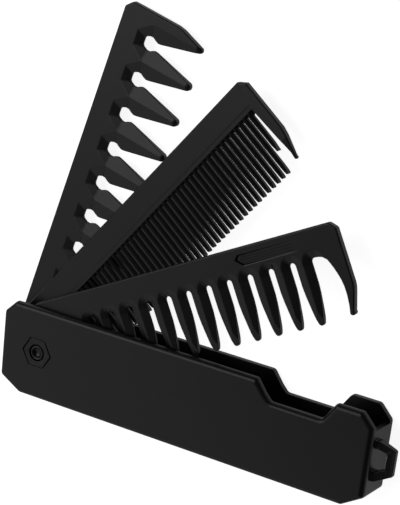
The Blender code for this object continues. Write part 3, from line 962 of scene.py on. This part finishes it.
def lugShape():
    right = case["length"] - case["inset"]
    wall = (case["endWall"] + right) / 2
    bar, root = lug["bar"], lug["root"]
    shoulder = right + bar * lug["straight"]
    tip = right + lug["reach"]
    slant = bar * lug["slant"]
    outer = [(wall, -root), (shoulder, -root), (tip, lug["tipBottom"]), (tip, lug["tipTop"]),
             (shoulder, root), (wall, root)]
    low, lowSlant = lug["lowerBar"], lug["lowerBar"] * lug["slant"]
    inner = [(wall, root - bar), (shoulder, root - bar), (tip - bar, lug["tipTop"] - slant),
             (tip - bar, lug["tipBottom"] + lowSlant), (shoulder, low - root), (wall, low - root)]
    soft = [0] + [lug["softness"]] * 4 + [0, 0] + [lug["softness"]] * 4 + [0]
    middle = stack["height"] - lug["depth"]
    under, over = middle - lug["thickness"] / 2, middle + lug["thickness"] / 2
    top = over + lug["slope"]
    ring = prism("lug", rounded(outer + inner, soft, 4), under, top)
    # Its front slopes from the end wall down to its tip
    atWall, beforeTip = lug["slopeEnds"]
    margin, halfWidth = lug["cut"]
    sideView = [(wall - margin, under - margin), (tip + margin, under - margin), (tip + margin, over),
                (tip - beforeTip, over), (right, top - atWall), (wall - margin, top + margin)]
    slopeSide = prism("lugSlope", sideView, -halfWidth, halfWidth)
    slopeSide.transform(quarterTurn)
    return combined(ring, [(slopeSide, 'INTERSECT')])


def hexagon(radius):
    return arc((0, 0), radius, 0, 300, 5)


# The nut fits closer at its upper and lower sides
def nutPocket():
    flat = nut["radius"] * math.sin(math.radians(60)) + nut["closeSeam"]
    corners = hexagon(nut["radius"] + nut["seam"])
    return [(x, math.copysign(flat, y) if abs(y) > flat / 2 else y) for x, y in corners]


def makeCase():
    height, plate, far = stack["height"], stack["plate"], case["length"]
    shell = prism("case", caseOutline(), 0, height)
    shape = bmesh.new()
    shape.from_mesh(shell)
    for low, high, fillet in ((height / 2, far, case["fillet"]), (-far, height / 2, case["rearFillet"])):
        rim = [e for e in shape.edges if all(low * mm < v.co.z < high * mm for v in e.verts)]
        bmesh.ops.bevel(shape, geom=rim, offset=fillet * mm, segments=case["filletSegments"], profile=0.5,
                        affect='EDGES', clamp_overlap=False, loop_slide=False)
    shape.to_mesh(shell)
    shape.free()
    wall, wallTop = case["endWall"], case["endWallTop"]
    right, turn = far - case["inset"], case["endFillet"]
    away = case["cutBeyond"]
    endRound = arc((right - turn, height - turn), turn, 94, -4, 12)
    endRound += [(right + away, endRound[-1][1]), (right + away, height + away),
                 (endRound[0][0], height + away)]
    endCut = prism("endRound", endRound, -far, far)
    endCut.transform(quarterTurn)
    space = [(-far, -far), (wall, -far), (wall, wallTop), (far, wallTop), (far, far), (-far, far)]
    pocketFloor, headTop = height - nut["height"] - nut["seam"], pin["headHeight"] + pin["seam"]
    return combined(shell, [
        (endCut, 'DIFFERENCE'),
        (prism("bladeSpace", space, plate, height - plate), 'DIFFERENCE'),
        (lugShape(), 'UNION'),
        (prism("pinHole", circle(stack["pinHole"]), -far, far), 'DIFFERENCE'),
        (prism("nutPocket", nutPocket(), pocketFloor, far), 'DIFFERENCE'),
        (prism("headPocket", circle(pin["headRadius"] + pin["seam"]), -far, headTop), 'DIFFERENCE')])


def caseEdgeWidth(edge):
    angle = foldAngle(edge)
    a, b = (v.co / mm for v in edge.verts)
    right = case["length"] - case["inset"]
    before, after = case["seamBand"]
    if angle < case["edgeAngle"] or (a - b).length < case["shortestEdge"]:
        return 0.0
    if max(a.x, b.x) > right + after:
        return lug["edge"]
    if min(a.x, b.x) > right - before:
        return case["lugSeamEdge"]
    return case["sharpEdge"]


nut = {
    "radius": 5.12,
    "height": 1.4,
    "hole": 2.75,
    "seam": 0.38,
    "closeSeam": 0.12,
    "edge": 0.14,
    "edgeAngle": 40,
}


def makeNut():
    high = stack["height"]
    blank = prism("nut", hexagon(nut["radius"]), high - nut["height"], high)
    return combined(blank, [(prism("nutHole", circle(nut["hole"]), 0, 2 * high), 'DIFFERENCE')])


def nutEdgeWidth(edge):
    return nut["edge"] if foldAngle(edge) > nut["edgeAngle"] else 0.0


pin = {
    "radius": 2.35,
    "below": 0.1,  # its end sits this far under the front face
    "rim": 0.22,  # round-over of its end and of its head
    "dishLip": (0.06, 0.02),  # width and drop of the dish's rim
    "chamfer": 0.1,
    "dishRadius": 1.6,
    "dishDepth": 0.9,
    "headRadius": 4.6,
    "headHeight": 1.0,
    "seam": 0.3,
}


# Half the outline of a turned piece, spun about the pivot
def turned(name, profile, segments=64):
    shape = bmesh.new()
    line = [shape.verts.new((r * mm, 0, z * mm)) for r, z in profile]
    edges = [shape.edges.new(pair) for pair in zip(line, line[1:])]
    bmesh.ops.spin(shape, geom=line + edges, cent=(0, 0, 0), axis=(0, 0, 1), angle=math.tau, steps=segments,
                   use_merge=True)
    bmesh.ops.remove_doubles(shape, verts=shape.verts, dist=weld / 2 * mm)
    bmesh.ops.recalc_face_normals(shape, faces=shape.faces)
    mesh = asMesh(name, shape)
    mesh.shade_smooth()
    return mesh


def makePin():
    top = stack["height"] - pin["below"]
    rim, deep = pin["rim"], pin["dishDepth"]
    dish = [(pin["dishRadius"] * math.sin(math.radians(a)), top - deep * math.cos(math.radians(a)))
            for a in range(0, 85, 12)]
    lipWidth, lipDrop = pin["dishLip"]
    profile = dish + [(pin["dishRadius"] + lipWidth, top - lipDrop)]
    profile += arc((pin["radius"] - rim, top - rim), rim, 90, 0, 4)
    head, headHigh, low, cut = pin["headRadius"], pin["headHeight"], pin["seam"], pin["chamfer"]
    profile += [(pin["radius"], headHigh + cut), (pin["radius"] + cut, headHigh), (head - cut, headHigh),
                (head, headHigh - cut)]
    profile += arc((head - rim, low + rim), rim, 0, -90, 4) + [(0, low)]
    return turned("pin", profile)


# The end wall isn't square to the case: it leans, for the mould's sake
def leanEnd(mesh):
    forward, down = case["endLean"]
    tall = case["top"] - case["bottom"]
    for vertex in mesh.vertices:
        x, y, z = vertex.co / mm
        if x > case["endFrom"]:
            vertex.co.x -= mm * (forward * z / stack["height"] + down * (case["top"] - y) / tall)


caseMesh = softened(makeCase(), caseEdgeWidth, onGentleCurve, [absCase, absEdge], lug["edge"], 2)
leanEnd(caseMesh)
placed("foldingCase", caseMesh, "case", "case")
nutMesh = softened(makeNut(), nutEdgeWidth, onGentleCurve, [nylonNut, absEdge], nut["edge"], 3)
placed("pivotNut", nutMesh, "case", "pivot_nut")
pinMesh = makePin()
pinMesh.materials.append(nylonPin)
placed("pivotPin", pinMesh, "case", "pivot_pin")


studio = {
    "cameraAt": (0.241807, 0.198742, 0.429665),
    "cameraRight": (0.846682, 0.10305, -0.522025),
    "cameraUp": (-0.242313, 0.948109, -0.205851),
    "focalPixels": 1744.607,
    "pictureHeight": 505,
    "sensor": 36.0,
    "nearest": 0.01,
    "paper": "#f4f4f4",
    "paperRoughness": 0.9,
    "paperHalf": 2.0,
    "paperDrop": 0.0001,  # the comb lies this far above it
    "paperGlow": 0.3,  # lit from below, like a light table
    "burntOut": 0.9,  # what the lens makes of it
    "room": 0.05,
    "white": 1.0,
    "aimedAt": (0, 0.04, 0),
    "softboxes": {
        "softboxOver": {"towards": (-0.56, 0.24, 0.79), "distance": 1.3, "size": (0.85, 1.0),
                        "brightness": 1.42},
        "softboxLeft": {"towards": (-0.5, -0.6, 0.58), "distance": 1.3, "size": (1.5, 1.0),
                        "brightness": 0.42},
    },
}

camera = newObject("camera", bpy.data.cameras.new("camera"))
right, up = Vector(studio["cameraRight"]), Vector(studio["cameraUp"])
camera.matrix_world = Matrix.Translation(studio["cameraAt"]) @ Matrix(
    (right, up, right.cross(up))).transposed().to_4x4()
camera.data.sensor_fit = 'VERTICAL'
camera.data.sensor_height = studio["sensor"]
camera.data.lens = studio["focalPixels"] / studio["pictureHeight"] * studio["sensor"]
camera.data.clip_start = studio["nearest"]
bpy.context.scene.camera = camera

floorMesh = bpy.data.meshes.new("floor")
half = studio["paperHalf"]
floorMesh.from_pydata([(-half, -half, 0), (half, -half, 0), (half, half, 0), (-half, half, 0)], [],
                      [(0, 1, 2, 3)])
floorObject = newObject("floor", floorMesh)
floorObject.location.z = -studio["paperDrop"]
# White paper, lit through and exposed to plain white, so that only the softest shadow is left
paper = bpy.data.materials.new("whitePaper")
paper.use_nodes = True
paperShader = paper.node_tree.nodes["Principled BSDF"]
paperShader.inputs["Base Color"].default_value = linear(studio["paper"])
paperShader.inputs["Roughness"].default_value = studio["paperRoughness"]
paperShader.inputs["Emission Color"].default_value = linear("#ffffff")


# One strength for the lens and another for the light that the comb gets
def seenAs(tree, forLens, forComb, socket):
    rays = addNode(tree, "ShaderNodeLightPath")
    strength = addNode(tree, "ShaderNodeMapRange", {"To Min": forComb, "To Max": forLens},
                       {"Value": rays.outputs["Is Camera Ray"]})
    tree.links.new(strength.outputs["Result"], socket)


seenAs(paper.node_tree, studio["burntOut"], studio["paperGlow"], paperShader.inputs["Emission Strength"])
floorMesh.materials.append(paper)


# An area light of a given brightness (radiance), looking at the comb
def softbox(name, towards, distance, size, brightness):
    lamp = bpy.data.lights.new(name, 'AREA')
    lamp.shape = 'RECTANGLE'
    lamp.size, lamp.size_y = size
    lamp.energy = brightness * math.pi * size[0] * size[1]
    obj = newObject(name, lamp)
    direction = Vector(towards).normalized()
    obj.location = Vector(studio["aimedAt"]) + direction * distance
    obj.rotation_euler = direction.to_track_quat('Z', 'Y').to_euler()


for name, light in studio["softboxes"].items():
    softbox(name, **light)
world = bpy.data.worlds.new("studio")
bpy.context.scene.world = world
world.use_nodes = True
background = world.node_tree.nodes["Background"].inputs
background["Color"].default_value = linear("#ffffff")
seenAs(world.node_tree, studio["white"], studio["room"], background["Strength"])
bpy.context.scene.view_settings.view_transform = 'Standard'
print("studio ready")
